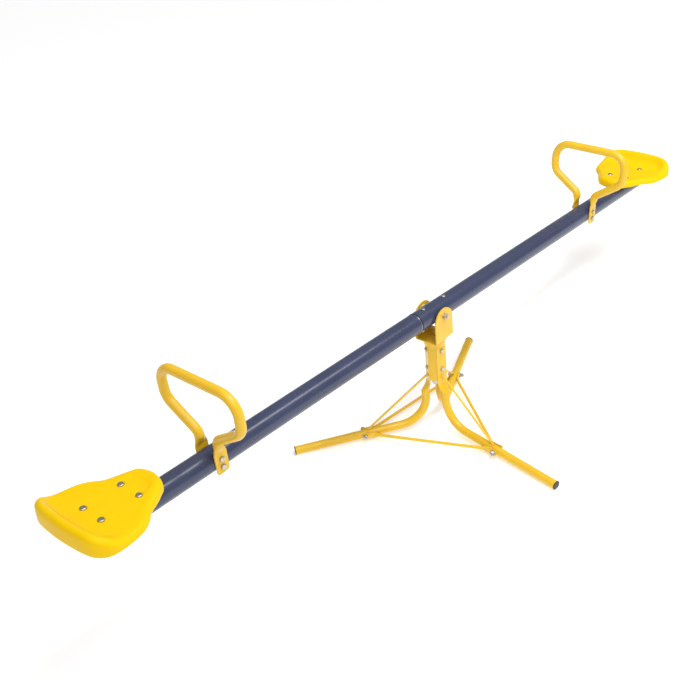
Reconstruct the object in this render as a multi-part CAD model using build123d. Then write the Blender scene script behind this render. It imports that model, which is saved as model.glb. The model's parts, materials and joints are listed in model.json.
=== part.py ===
from build123d import *
import math
import os

# A two-seat seesaw whose beam tilts on a yoke and swivels right round on a tripod.
# Millimetres, +Z up. The origin is on the ground, under the swivel axis. The beam lies
# along X: its near end is at -X and its far end, at rest the lower one, is at +X.

os.makedirs("parts", exist_ok=True)

# ---- clearances -------------------------------------------------------------------
RUNNING_FIT = 0.05          # radial, shaft in bush
SLIP_FIT = 0.15             # radial, tube in tube
HOLE_CLEARANCE = 0.3        # radial, bolt shank in a clearance hole
REST_GAP = 0.3              # between faces of two bodies that slide past each other
SEAT_GAP = 0.1              # between pieces that are bolted together

# ---- beam -------------------------------------------------------------------------
PIVOT_HEIGHT = 407.0
REST_TILT = 3.8
TUBE_OD = 60.0
TUBE_WALL = 2.5
TUBE_REACH = 1220.0         # pivot to each end of the tube
JOINT_X = -87.0             # where the two tubes meet
JOINT_GAP = 5.0
JOINT_RING_INSET = 1.0      # the ring lies this far under the tube's surface
SLEEVE_WALL = 2.5
SLEEVE_IN_NEAR = 120.0      # sleeve length inside the near tube
SLEEVE_IN_FAR = 165.0
JOINT_BOLT_SPACING = 97.0
PLUG_FLANGE = 4.0
PLUG_DEPTH = 28.0
PLUG_WALL = 3.0

# ---- pivot ------------------------------------------------------------------------
PIVOT_BUSH_WALL = 2.0
PIVOT_BUSH_LENGTH = 22.0
PIVOT_BUSH_FLANGE_D = 26.0
PIVOT_BUSH_FLANGE = 3.0
CROSS_TUBE_WALL = 3.0

# ---- yoke -------------------------------------------------------------------------
YOKE_SIDE_GAP = 5.0         # between the beam and each ear
YOKE_WIDTH = 80.0           # along the beam
YOKE_PLATE = 4.0
YOKE_DEPTH = 84.0           # from the pivot down to the yoke's underside
EAR_CENTRE_DROP = 17.0      # the ear's round top is struck from this far under the pivot
YOKE_BEND = 7.0             # outside radius of the two folds

# ---- swivel -----------------------------------------------------------------------
SPINDLE_D = 25.0
SPINDLE_NECK_D = 20.0
SPINDLE_CENTRE_D = 6.0
SPINDLE_CENTRE_DEPTH = 14.0
SPINDLE_THREAD_PAST_NUT = 5.0
SWIVEL_BUSH_WALL = 2.5
SWIVEL_BUSH_LENGTH = 34.0
SWIVEL_BUSH_FLANGE = 3.0
TOP_FLANGE_RIM = 10.95      # how far each flange stands out from its bush
LOW_FLANGE_RIM = 3.95
HUB_WALL = 7.85             # round the top flange
HUB_TAPER = 3.5             # the hub is this much smaller, radially, at its foot
HUB_HEIGHT = 22.3
HUB_LIP = 8.0               # straight rim at the top of the hub
HUB_TOP_STEP = 0.4          # the top bush stands this far out of the hub

# ---- column -----------------------------------------------------------------------
CORE_LENGTH = 118.0
CORE_WALL = 7.8             # bore to each flat that carries a leg
CORE_PANEL_STEP = 4.0       # the flats between two legs lie this much further out
CORE_TAP_FLOOR = 0.8        # left under each tapped hole

# ---- legs -------------------------------------------------------------------------
LEG_NAMES = ("right", "back", "left")
LEG_SPACING = 120.0
FIRST_LEG_AZIMUTH = -97.3
LEG_OD = 25.4
LEG_WALL = 1.6
LEG_PRESS_PAST_CORE = 14.0  # the leg stays flat this far under the core
LEG_ROUND_OUT = 30.0        # length over which the flat tube turns round again
LEG_BEND_RADIUS = 85.0
FOOT_REACH = 450.0
FOOT_LIFT = 0.3             # foot of the tube above the ground
RUN_SLOPE = 2.4             # degrees, the run rises this much from foot to bend
COLUMN_BOLT_DROPS = (17.0, 80.5)
BRACE_REACH = 234.5
CAP_FLANGE = 2.6
CAP_FLANGE_PROUD = 0.6
CAP_DEPTH = 18.0
CAP_WALL = 2.0

# ---- struts and braces ------------------------------------------------------------
STRUT_D = 6.5
STRUT_RISE = 14.5           # the strut's top above the core's lower end
STRUT_FOOT_REACH = 222.0
BRACE_D = 9.5
BRACE_FLAT = 3.0
BRACE_EYE_D = 20.0
BRACE_EYE_LENGTH = 28.0
BRACE_TAPER = 16.0

# ---- handles ----------------------------------------------------------------------
HANDLE_BEFORE_SEAT = 164.0  # handle's foot to the seat's nose, along the beam
HANDLE_LEAN = 4.5
HANDLE_OD = 25.4
HANDLE_WALL = 1.6
HANDLE_HALF_WIDTH = 127.0
HANDLE_TOP = 221.5
HANDLE_SHOULDER = 127.0     # height where the outward arm would meet the upright
HANDLE_KNEE = 64.5          # height where the foot would meet the outward arm
HANDLE_RADII = (22.0, 45.0, 50.0, 50.0, 45.0, 22.0)
HANDLE_ROUND_START = 52.0
HANDLE_FLAT_TOP = 28.0
HANDLE_FLAT_BOTTOM = -29.0
HANDLE_FLAT_CORNER = 8.0
HANDLE_BOLT_SPACING = 22.2

# ---- seats: lengths from the nose, heights from the top of the tube ------------------
SEAT_PAST_TUBE = 68.0
SEAT_LENGTH = 258.0
SEAT_HALF_WIDTH = 121.0
SEAT_STATIONS = ((0.04, 0.30), (0.12, 0.43), (0.215, 0.55), (0.31, 0.645), (0.385, 0.785),
                 (0.46, 0.89), (0.54, 0.95), (0.65, 0.99), (0.77, 1.0), (0.855, 0.967),
                 (0.93, 0.85), (0.97, 0.70))
SEAT_RIM_LINE = ((0.0, 31.0), (135.0, 27.0), (202.0, 36.5), (SEAT_LENGTH, 62.0))
SEAT_DISH_LINE = ((0.0, 24.0), (192.0, 24.0), (SEAT_LENGTH, 50.0))
SEAT_SKIRT_LINE = ((0.0, 4.0), (SEAT_LENGTH, 12.0))
SEAT_RIM_WIDTH = 17.0
SEAT_WALL = 5.0
SEAT_BOLT_FIRST = 71.7
SEAT_BOLT_SPACING = 101.0
SEAT_BOLT_ACROSS = 61.4
SEAT_BOSS_D = 22.0
BRACKET_LENGTH = 150.0
BRACKET_WIDTH = 92.0
BRACKET_PLATE = 3.0
BRACKET_RIB = 5.0
BRACKET_RIB_HALF_WIDTH = 22.0
BRACKET_RIB_INSET = 30.0
BRACKET_CORNER = 10.0

# ---- fasteners --------------------------------------------------------------------
M6 = dict(shank=6.0, dome=16.6, dome_height=3.9, flats=10.0, nut=6.0)
M8 = dict(shank=8.0, dome=14.0, dome_height=4.4, flats=13.0, hex_height=5.3, nut=8.0,
          washer=16.0, washer_t=1.6)
M10 = dict(shank=10.0, flats=16.0, hex_height=6.4, nut=8.4, washer=18.0, washer_t=1.6)
M16 = dict(shank=16.0, flats=24.0, nut=16.0, washer=40.0, washer_t=3.0)
SCREW_DOME = 0.6            # share of the head's height that is rounded
CARRIAGE_DOME = 0.85
SOCKET_D = 5.8
SOCKET_DEPTH = 2.6
THREAD_PAST_NUT = 4.0
NUT_CHAMFER = 0.8

# ---- worked-out sizes -------------------------------------------------------------
TUBE_ID = TUBE_OD - 2 * TUBE_WALL
SLEEVE_OD = TUBE_ID - 2 * SLIP_FIT
EAR_INSIDE = TUBE_OD / 2 + YOKE_SIDE_GAP
EAR_OUTSIDE = EAR_INSIDE + YOKE_PLATE
PIVOT_BUSH_ID = M10["shank"] + 2 * RUNNING_FIT
CROSS_TUBE_ID = PIVOT_BUSH_ID + 2 * PIVOT_BUSH_WALL
CROSS_TUBE_OD = CROSS_TUBE_ID + 2 * CROSS_TUBE_WALL
CROSS_TUBE_HALF = EAR_INSIDE - REST_GAP - PIVOT_BUSH_FLANGE
YOKE_BOTTOM = PIVOT_HEIGHT - YOKE_DEPTH
YOKE_FLOOR = YOKE_BOTTOM + YOKE_PLATE
SWIVEL_BUSH_ID = SPINDLE_D + 2 * RUNNING_FIT
SWIVEL_BUSH_OD = SWIVEL_BUSH_ID + 2 * SWIVEL_BUSH_WALL
TOP_FLANGE_D = SWIVEL_BUSH_OD + 2 * TOP_FLANGE_RIM
LOW_FLANGE_D = SWIVEL_BUSH_OD + 2 * LOW_FLANGE_RIM
TOP_FLANGE_FACE = YOKE_BOTTOM - REST_GAP
HUB_TOP = TOP_FLANGE_FACE - HUB_TOP_STEP
HUB_BORE = TOP_FLANGE_D + 2 * SLIP_FIT
HUB_TOP_D = HUB_BORE + 2 * HUB_WALL
HUB_BOTTOM_D = HUB_TOP_D - 2 * HUB_TAPER
CORE_TOP = HUB_TOP - HUB_HEIGHT
CORE_BOTTOM = CORE_TOP - CORE_LENGTH
CORE_BORE = SWIVEL_BUSH_OD + 2 * SLIP_FIT
CORE_LEG_FLAT = CORE_BORE / 2 + CORE_WALL
CORE_PANEL_FLAT = CORE_LEG_FLAT + CORE_PANEL_STEP
CORE_TAP_DEPTH = CORE_WALL - CORE_TAP_FLOOR
COLUMN_BOLT_HEIGHTS = [CORE_TOP - drop for drop in COLUMN_BOLT_DROPS]
LOW_FLANGE_FACE = CORE_BOTTOM - SWIVEL_BUSH_FLANGE
SPINDLE_SHOULDER = LOW_FLANGE_FACE - REST_GAP
LEG_AZIMUTHS = [FIRST_LEG_AZIMUTH + k * LEG_SPACING for k in range(len(LEG_NAMES))]
LEG_PRESSED = 2 * LEG_WALL
LEG_PRESS_TOP = CORE_BOTTOM - LEG_PRESS_PAST_CORE
LEG_PRESS_START = LEG_PRESS_TOP - LEG_ROUND_OUT
LEG_PLATE_CENTRE = CORE_LEG_FLAT + LEG_PRESSED / 2
LEG_AXIS = CORE_LEG_FLAT + LEG_OD / 2
FOOT_CENTRE_HEIGHT = LEG_OD / 2 + FOOT_LIFT
RUN_RISE = math.tan(math.radians(RUN_SLOPE))
BRACE_HEIGHT = FOOT_CENTRE_HEIGHT + RUN_RISE * (FOOT_REACH - BRACE_REACH)
BRACE_OFFSET = LEG_OD / 2 + SEAT_GAP + BRACE_FLAT / 2
STRUT_TOP_HEIGHT = CORE_BOTTOM + STRUT_RISE
SEAT_REAR = TUBE_REACH + SEAT_PAST_TUBE
SEAT_NOSE = SEAT_REAR - SEAT_LENGTH
SEAT_BASE = TUBE_OD / 2
SEAT_DISH = SEAT_BASE + SEAT_DISH_LINE[0][1]
SEAT_BOLTS = [(SEAT_NOSE + SEAT_BOLT_FIRST + along * SEAT_BOLT_SPACING, side * SEAT_BOLT_ACROSS / 2)
              for along in (0, 1) for side in (-1, 1)]
BRACKET_BOTTOM = SEAT_BASE + SEAT_GAP
BRACKET_TOP = BRACKET_BOTTOM + BRACKET_PLATE
HANDLE_REACH = SEAT_NOSE - HANDLE_BEFORE_SEAT
HANDLE_PRESSED = 2 * HANDLE_WALL
HANDLE_FOOT_Y = TUBE_OD / 2 + SEAT_GAP + HANDLE_PRESSED / 2
JOINT_BOLTS = (-JOINT_BOLT_SPACING / 2, JOINT_BOLT_SPACING / 2)
FAR = 4 * TUBE_REACH        # longer than anything it cuts

BEAM = Location((0, 0, PIVOT_HEIGHT), (0, REST_TILT, 0))
HALF_TURN = Location((0, 0, 0), (0, 0, 180))


# ---- helpers ----------------------------------------------------------------------
def facing(point, direction):
    """Where a piece built up along +Z goes, to stand at a point along a direction."""
    return Plane(origin=point, z_dir=direction).location


def rod(start, end, diameter):
    span = Vector(*end) - Vector(*start)
    return facing(start, span) * extrude(Circle(diameter / 2), span.length)


def pipe(start, end, outer, inner):
    span = Vector(*end) - Vector(*start)
    return facing(start, span) * extrude(Circle(outer / 2) - Circle(inner / 2), span.length)


def bored(shape, point, direction, diameter):
    """The shape with a hole right through it, on the line through the point."""
    middle = Vector(*point)
    reach = Vector(*direction).normalized() * FAR
    return shape - rod(tuple(middle - reach), tuple(middle + reach), diameter)


def turned(azimuth):
    return Location((0, 0, 0), (0, 0, azimuth))


def domed_head(size, share):
    """Round head on z = 0, with the given share of its height rounded over."""
    height = size["dome_height"]
    head = extrude(Circle(size["dome"] / 2), height)
    return fillet(head.edges().group_by(Axis.Z)[-1], height * share)


def shank(size, length):
    return extrude(Circle(size["shank"] / 2), -length)


def screw(size, grip, past):
    """Domed socket screw: the head's underside is at z = 0 and the shank goes down."""
    height = size["dome_height"]
    socket = Pos(0, 0, height - SOCKET_DEPTH) * extrude(RegularPolygon(SOCKET_D / 2, 6), SOCKET_DEPTH)
    return domed_head(size, SCREW_DOME) - socket + shank(size, grip + past)


def hex_screw(size, grip, past):
    head = extrude(RegularPolygon(size["flats"] / 2, 6, major_radius=False), size["hex_height"])
    head = chamfer(head.edges().group_by(Axis.Z)[-1], NUT_CHAMFER)
    return head + shank(size, grip + past)


def carriage_bolt(size, grip, past):
    return domed_head(size, CARRIAGE_DOME) + shank(size, grip + past)


def nut(size):
    """Hexagon nut that lies under z = 0, with its thread cleared by the slip fit."""
    body = extrude(RegularPolygon(size["flats"] / 2, 6, major_radius=False), -size["nut"])
    body = chamfer(body.edges().group_by(Axis.Z)[0], NUT_CHAMFER)
    return body - extrude(Circle(size["shank"] / 2 + SLIP_FIT), -size["nut"])


def washer(size):
    ring = Circle(size["washer"] / 2) - Circle(size["shank"] / 2 + SLIP_FIT)
    return extrude(ring, -size["washer_t"])


def pressed_width(outer, wall):
    """Width of a round tube once it is pressed flat, wall on wall."""
    return math.pi / 2 * (outer - 2 * wall) + 2 * wall


def save(name, *shapes):
    solids = [solid for shape in shapes for solid in shape.solids()]
    export_step(Compound(solids), f"parts/{name}.step")


# ---- beam -------------------------------------------------------------------------
def handle_bolt_points(side):
    """Middle of each bolt through a handle's feet, in the beam's own frame."""
    lean = math.radians(HANDLE_LEAN)
    points = []
    for step in (-HANDLE_BOLT_SPACING / 2, HANDLE_BOLT_SPACING / 2):
        points.append((side * (HANDLE_REACH + step * math.sin(lean)), 0, step * math.cos(lean)))
    return points


def handle_holes(tube, side):
    for point in handle_bolt_points(side):
        tube = bored(tube, point, (0, 1, 0), M8["shank"] + 2 * HOLE_CLEARANCE)
    return tube


def pivot_and_joint_holes(tube):
    tube = bored(tube, (0, 0, 0), (0, 1, 0), CROSS_TUBE_OD + 2 * SLIP_FIT)
    for x in JOINT_BOLTS:
        tube = bored(tube, (x, 0, 0), (0, 0, 1), M8["shank"] + 2 * HOLE_CLEARANCE)
    return tube


def near_tube():
    tube = pipe((-TUBE_REACH, 0, 0), (JOINT_X - JOINT_GAP / 2, 0, 0), TUBE_OD, TUBE_ID)
    return handle_holes(tube, -1)


def far_tube():
    tube = pipe((JOINT_X + JOINT_GAP / 2, 0, 0), (TUBE_REACH, 0, 0), TUBE_OD, TUBE_ID)
    return handle_holes(pivot_and_joint_holes(tube), 1)


def joint_sleeve():
    start = (JOINT_X - SLEEVE_IN_NEAR, 0, 0)
    end = (JOINT_X + SLEEVE_IN_FAR, 0, 0)
    return pivot_and_joint_holes(pipe(start, end, SLEEVE_OD, SLEEVE_OD - 2 * SLEEVE_WALL))


def joint_ring():
    start = (JOINT_X - JOINT_GAP / 2, 0, 0)
    end = (JOINT_X + JOINT_GAP / 2, 0, 0)
    return pipe(start, end, TUBE_OD - 2 * JOINT_RING_INSET, SLEEVE_OD + 2 * SLIP_FIT)


def joint_hardware():
    bolts, nuts = [], []
    for x in JOINT_BOLTS:
        top = facing((x, 0, TUBE_OD / 2), (0, 0, 1))
        bolts.append(top * screw(M8, TUBE_OD + M8["nut"], THREAD_PAST_NUT))
        nuts.append(facing((x, 0, -TUBE_OD / 2), (0, 0, 1)) * nut(M8))
    return bolts, nuts


def end_plug(side):
    flange = rod((side * TUBE_REACH, 0, 0), (side * (TUBE_REACH + PLUG_FLANGE), 0, 0), TUBE_OD)
    skirt_d = TUBE_ID - 2 * SLIP_FIT
    skirt = pipe((side * (TUBE_REACH - PLUG_DEPTH), 0, 0), (side * TUBE_REACH, 0, 0),
                 skirt_d, skirt_d - 2 * PLUG_WALL)
    return flange + skirt


def cross_tube():
    return pipe((0, -CROSS_TUBE_HALF, 0), (0, CROSS_TUBE_HALF, 0), CROSS_TUBE_OD, CROSS_TUBE_ID)


def pivot_bush(side):
    flange = pipe((0, side * CROSS_TUBE_HALF, 0), (0, side * (CROSS_TUBE_HALF + PIVOT_BUSH_FLANGE), 0),
                  PIVOT_BUSH_FLANGE_D, PIVOT_BUSH_ID)
    skirt = pipe((0, side * (CROSS_TUBE_HALF - PIVOT_BUSH_LENGTH), 0), (0, side * CROSS_TUBE_HALF, 0),
                 CROSS_TUBE_ID, PIVOT_BUSH_ID)
    return flange + skirt


# ---- handles, built upright over the origin, then leaned back and moved to the tube --
def handle():
    y = HANDLE_FOOT_Y
    corners = [(y, HANDLE_ROUND_START), (y, HANDLE_KNEE), (HANDLE_HALF_WIDTH, HANDLE_SHOULDER),
               (HANDLE_HALF_WIDTH, HANDLE_TOP)]
    half = [(0, side_y, z) for side_y, z in corners]
    other = [(0, -side_y, z) for side_y, z in reversed(corners)]
    path = FilletPolyline(*half, *other, radius=list(HANDLE_RADII))
    start = Plane(origin=half[0], z_dir=(0, 0, 1))
    bar = sweep(start * Circle(HANDLE_OD / 2), path=path)
    bar -= sweep(start * Circle(HANDLE_OD / 2 - HANDLE_WALL), path=path)
    for side in (-1, 1):
        bar += handle_foot(side * y)
    for step in (-HANDLE_BOLT_SPACING / 2, HANDLE_BOLT_SPACING / 2):
        bar = bored(bar, (0, 0, step), (0, 1, 0), M8["shank"] + 2 * HOLE_CLEARANCE)
    return bar


def handle_foot(y):
    """The pressed end of the handle tube: a flat tongue, and the stretch that rounds out."""
    width = pressed_width(HANDLE_OD, HANDLE_WALL)
    tongue = Box(width, HANDLE_PRESSED, HANDLE_FLAT_TOP - HANDLE_FLAT_BOTTOM,
                 align=(Align.CENTER, Align.CENTER, Align.MIN))
    tongue = fillet(tongue.edges().filter_by(Axis.Y).group_by(Axis.Z)[0], HANDLE_FLAT_CORNER)
    tongue = Pos(0, y, HANDLE_FLAT_BOTTOM) * tongue
    flat = Pos(0, y, HANDLE_FLAT_TOP) * Rectangle(width, HANDLE_PRESSED)
    full = Pos(0, y, HANDLE_ROUND_START) * Circle(HANDLE_OD / 2)
    return tongue + loft([flat, full])


def handle_place(side):
    lean = Location((side * HANDLE_REACH, 0, 0), (0, side * HANDLE_LEAN, 0))
    return BEAM * lean


def handle_hardware(side):
    face = HANDLE_FOOT_Y + HANDLE_PRESSED / 2
    bolts, nuts = [], []
    for step in (-HANDLE_BOLT_SPACING / 2, HANDLE_BOLT_SPACING / 2):
        head = facing((0, -face, step), (0, -1, 0))
        bolts.append(handle_place(side) * head * hex_screw(M8, 2 * face + M8["nut"], THREAD_PAST_NUT))
        nuts.append(handle_place(side) * facing((0, face, step), (0, -1, 0)) * nut(M8))
    return bolts, nuts


# ---- seats, built at the far end of the beam; the near one is a half turn of it -----
def seat_outline(inset):
    """Plan of the saddle seat, drawn in from its edge by the inset."""
    right = []
    for along, half in SEAT_STATIONS:
        x = SEAT_NOSE + inset + along * (SEAT_LENGTH - 2 * inset)
        right.append((x, half * SEAT_HALF_WIDTH - inset))
    left = [(x, -y) for x, y in reversed(right)]
    points = [(SEAT_NOSE + inset, 0), *right, (SEAT_REAR - inset, 0), *left]
    return make_face(Spline(*points, periodic=True))


def seat_column(inset):
    """Everything inside the outline, drawn in by the inset, above and below the seat."""
    return extrude(seat_outline(inset), SEAT_LENGTH, both=True)


def seat_under(line, lift=0.0):
    """Everything below a line of (length from the nose, height) points, right across the seat."""
    points = [(SEAT_NOSE + along, 0, SEAT_BASE + height + lift) for along, height in line]
    low = -SEAT_LENGTH
    side = make_face(Polyline((SEAT_NOSE, 0, low), *points, (SEAT_REAR, 0, low), close=True))
    return extrude(side, SEAT_LENGTH, both=True, dir=(0, 1, 0))


def seat():
    shell = seat_column(0) & seat_under(SEAT_RIM_LINE) - seat_under(SEAT_SKIRT_LINE)
    shell -= seat_column(SEAT_RIM_WIDTH) - seat_under(SEAT_DISH_LINE)
    shell -= seat_column(SEAT_WALL) & seat_under(SEAT_DISH_LINE, -SEAT_WALL)
    boss_bottom = BRACKET_TOP + SEAT_GAP
    for x, y in SEAT_BOLTS:
        boss = extrude(Circle(SEAT_BOSS_D / 2), SEAT_DISH - SEAT_WALL / 2 - boss_bottom)
        shell += Pos(x, y, boss_bottom) * boss
    for x, y in SEAT_BOLTS:
        shell = bored(shell, (x, y, 0), (0, 0, 1), M6["shank"] + 2 * HOLE_CLEARANCE)
    return shell


def seat_bracket():
    middle = SEAT_NOSE + SEAT_BOLT_FIRST + SEAT_BOLT_SPACING / 2
    plate = Rectangle(BRACKET_LENGTH, BRACKET_WIDTH)
    plate = fillet(plate.vertices(), BRACKET_CORNER)
    bracket = Pos(middle, 0, BRACKET_BOTTOM) * extrude(plate, BRACKET_PLATE)
    for side in (-1, 1):
        x = middle + side * (BRACKET_LENGTH / 2 - BRACKET_RIB_INSET)
        rib = Pos(x, 0, BRACKET_BOTTOM / 2) * Box(BRACKET_RIB, 2 * BRACKET_RIB_HALF_WIDTH, BRACKET_BOTTOM)
        bracket += rib - rod((0, 0, 0), (FAR, 0, 0), TUBE_OD + 2 * SEAT_GAP)
    for x, y in SEAT_BOLTS:
        bracket = bored(bracket, (x, y, 0), (0, 0, 1), M6["shank"] + 2 * HOLE_CLEARANCE)
    return bracket


def seat_hardware():
    bolts, nuts = [], []
    grip = SEAT_DISH - BRACKET_BOTTOM + M6["nut"]
    for x, y in SEAT_BOLTS:
        bolts.append(Pos(x, y, SEAT_DISH + SEAT_GAP) * carriage_bolt(M6, grip, THREAD_PAST_NUT))
        nuts.append(Pos(x, y, BRACKET_BOTTOM) * nut(M6))
    return bolts, nuts


# ---- yoke and swivel --------------------------------------------------------------
def yoke():
    ear_centre = PIVOT_HEIGHT - EAR_CENTRE_DROP
    height = ear_centre + YOKE_WIDTH / 2 - YOKE_BOTTOM
    outside = Pos(0, 0, YOKE_BOTTOM) * Box(YOKE_WIDTH, 2 * EAR_OUTSIDE, height,
                                           align=(Align.CENTER, Align.CENTER, Align.MIN))
    inside = Pos(0, 0, YOKE_FLOOR) * Box(2 * YOKE_WIDTH, 2 * EAR_INSIDE, height,
                                         align=(Align.CENTER, Align.CENTER, Align.MIN))
    outside = fillet(outside.edges().filter_by(Axis.X).group_by(Axis.Z)[0], YOKE_BEND)
    inside = fillet(inside.edges().filter_by(Axis.X).group_by(Axis.Z)[0], YOKE_BEND - YOKE_PLATE)
    channel = outside - inside
    ear = Rectangle(YOKE_WIDTH, ear_centre - YOKE_BOTTOM, align=(Align.CENTER, Align.MIN))
    ear = Pos(0, YOKE_BOTTOM, 0) * ear + Pos(0, ear_centre, 0) * Circle(YOKE_WIDTH / 2)
    channel &= extrude(Plane.XZ * ear, 2 * EAR_OUTSIDE, both=True)
    channel = bored(channel, (0, 0, PIVOT_HEIGHT), (0, 1, 0), M10["shank"] + 2 * SLIP_FIT)
    return channel - rod((0, 0, 0), (0, 0, PIVOT_HEIGHT), SPINDLE_NECK_D)


def spindle():
    body = rod((0, 0, SPINDLE_SHOULDER), (0, 0, YOKE_BOTTOM), SPINDLE_D)
    body += rod((0, 0, YOKE_BOTTOM), (0, 0, YOKE_FLOOR), SPINDLE_NECK_D)
    tail = SPINDLE_SHOULDER - M16["washer_t"] - M16["nut"] - SPINDLE_THREAD_PAST_NUT
    body += rod((0, 0, tail), (0, 0, SPINDLE_SHOULDER), M16["shank"])
    return body - rod((0, 0, YOKE_FLOOR - SPINDLE_CENTRE_DEPTH), (0, 0, YOKE_FLOOR), SPINDLE_CENTRE_D)


def pivot_hardware():
    stack = EAR_OUTSIDE + M10["washer_t"]
    head = facing((0, stack, PIVOT_HEIGHT), (0, 1, 0))
    bolt = head * hex_screw(M10, 2 * stack + M10["nut"], THREAD_PAST_NUT)
    nut_place = facing((0, -stack, PIVOT_HEIGHT), (0, 1, 0))
    washers = [facing((0, stack, PIVOT_HEIGHT), (0, 1, 0)) * washer(M10),
               facing((0, -EAR_OUTSIDE, PIVOT_HEIGHT), (0, 1, 0)) * washer(M10)]
    return bolt, nut_place * nut(M10), washers


def swivel_hardware():
    place = Pos(0, 0, SPINDLE_SHOULDER)
    return place * washer(M16), place * Pos(0, 0, -M16["washer_t"]) * nut(M16)


def top_bush():
    bottom = TOP_FLANGE_FACE - SWIVEL_BUSH_FLANGE
    flange = pipe((0, 0, bottom), (0, 0, TOP_FLANGE_FACE), TOP_FLANGE_D, SWIVEL_BUSH_ID)
    return flange + pipe((0, 0, bottom - SWIVEL_BUSH_LENGTH), (0, 0, bottom), SWIVEL_BUSH_OD, SWIVEL_BUSH_ID)


def low_bush():
    flange = pipe((0, 0, LOW_FLANGE_FACE), (0, 0, CORE_BOTTOM), LOW_FLANGE_D, SWIVEL_BUSH_ID)
    return flange + pipe((0, 0, CORE_BOTTOM), (0, 0, CORE_BOTTOM + SWIVEL_BUSH_LENGTH),
                         SWIVEL_BUSH_OD, SWIVEL_BUSH_ID)


# ---- column and legs --------------------------------------------------------------
def column_core():
    """Six-sided post: three flats carry the legs and three lie between them."""
    turn = math.radians(LEG_SPACING / 2)
    half = (CORE_PANEL_FLAT - CORE_LEG_FLAT * math.cos(turn)) / math.sin(turn)
    corners = []
    for azimuth in LEG_AZIMUTHS:
        for side in (-half, half):
            corner = Vector(CORE_LEG_FLAT, side, 0).rotate(Axis.Z, azimuth)
            corners.append((corner.X, corner.Y))
    post = Pos(0, 0, CORE_BOTTOM) * extrude(make_face(Polyline(*corners, close=True)), CORE_TOP - CORE_BOTTOM)
    post -= rod((0, 0, 0), (0, 0, CORE_TOP), CORE_BORE)
    for azimuth in LEG_AZIMUTHS:
        for height in COLUMN_BOLT_HEIGHTS:
            tap = rod((CORE_LEG_FLAT - CORE_TAP_DEPTH, 0, height), (FOOT_REACH, 0, height),
                      M8["shank"] + 2 * SLIP_FIT)
            post -= turned(azimuth) * tap
    return post


def swivel_hub():
    flange_seat = TOP_FLANGE_FACE - SWIVEL_BUSH_FLANGE
    side = [(0, CORE_TOP), (HUB_BOTTOM_D / 2, CORE_TOP), (HUB_TOP_D / 2, HUB_TOP - HUB_LIP),
            (HUB_TOP_D / 2, HUB_TOP), (0, HUB_TOP)]
    body = revolve(Plane.XZ * make_face(Polyline(*side, close=True)), Axis.Z)
    body -= rod((0, 0, flange_seat), (0, 0, HUB_TOP), HUB_BORE)
    return body - rod((0, 0, CORE_TOP), (0, 0, flange_seat), CORE_BORE)


def run_height(reach):
    return FOOT_CENTRE_HEIGHT + RUN_RISE * (FOOT_REACH - reach)


def leg_path():
    return FilletPolyline((LEG_AXIS, 0, LEG_PRESS_START), (LEG_AXIS, 0, run_height(LEG_AXIS)),
                          (FOOT_REACH, 0, FOOT_CENTRE_HEIGHT), radius=LEG_BEND_RADIUS)


def leg_sweep(diameter):
    start = Plane(origin=(LEG_AXIS, 0, LEG_PRESS_START), z_dir=(0, 0, -1))
    return sweep(start * Circle(diameter / 2), path=leg_path())


def leg_outside():
    """The leg as if it were solid, in the plane of azimuth 0."""
    width = pressed_width(LEG_OD, LEG_WALL)
    section = Pos(LEG_PLATE_CENTRE, 0, 0) * Rot(0, 0, 90) * SlotOverall(width, LEG_PRESSED)
    plate = Pos(0, 0, LEG_PRESS_TOP) * extrude(section, CORE_TOP - LEG_PRESS_TOP)
    round_end = Pos(LEG_AXIS, 0, LEG_PRESS_START) * Circle(LEG_OD / 2)
    return leg_sweep(LEG_OD) + loft([round_end, Pos(0, 0, LEG_PRESS_TOP) * section]) + plate


def leg():
    body = leg_outside() - leg_sweep(LEG_OD - 2 * LEG_WALL)
    hole = M8["shank"] + 2 * HOLE_CLEARANCE
    for height in COLUMN_BOLT_HEIGHTS:
        body = bored(body, (0, 0, height), (1, 0, 0), hole)
    return bored(body, (BRACE_REACH, 0, BRACE_HEIGHT), (0, 1, 0), hole)


def foot_cap():
    """Push-in plug for the foot, with a small flat ground on it where it rests."""
    slope = math.radians(RUN_SLOPE)
    outward = (math.cos(slope), 0, -math.sin(slope))
    tip = Vector(FOOT_REACH, 0, FOOT_CENTRE_HEIGHT)
    end = tuple(tip + Vector(*outward) * CAP_FLANGE)
    inner = tuple(tip - Vector(*outward) * CAP_DEPTH)
    skirt_d = LEG_OD - 2 * LEG_WALL - 2 * SLIP_FIT
    cap = rod(tuple(tip), end, LEG_OD + 2 * CAP_FLANGE_PROUD)
    cap += pipe(inner, tuple(tip), skirt_d, skirt_d - 2 * CAP_WALL)
    return cap - Box(FAR, FAR, FAR, align=(Align.CENTER, Align.CENTER, Align.MAX))


def strut():
    """Thin stay from the pressed part of the leg down to the top of its run."""
    top = (LEG_PLATE_CENTRE, 0, STRUT_TOP_HEIGHT)
    foot = (STRUT_FOOT_REACH, 0, run_height(STRUT_FOOT_REACH) + LEG_OD / 2)
    return (rod(top, foot, STRUT_D) - leg_outside()).solids().sort_by(SortBy.VOLUME)[-1]


def brace():
    """Stay from one leg, at azimuth 0, to the next, a third of a turn on."""
    eye = Vector(BRACE_REACH, BRACE_OFFSET, BRACE_HEIGHT)
    knee = Vector(BRACE_REACH - BRACE_EYE_LENGTH, BRACE_OFFSET, BRACE_HEIGHT)
    reach = math.hypot(knee.X, knee.Y)
    bisector = LEG_SPACING / 2 - math.degrees(math.atan2(knee.Y, knee.X))
    chord = 2 * reach * math.sin(math.radians(bisector))
    half = brace_end(eye, knee, chord / 2)
    other = half.mirror(Plane.XZ)
    return half + turned(LEG_SPACING) * other


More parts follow.
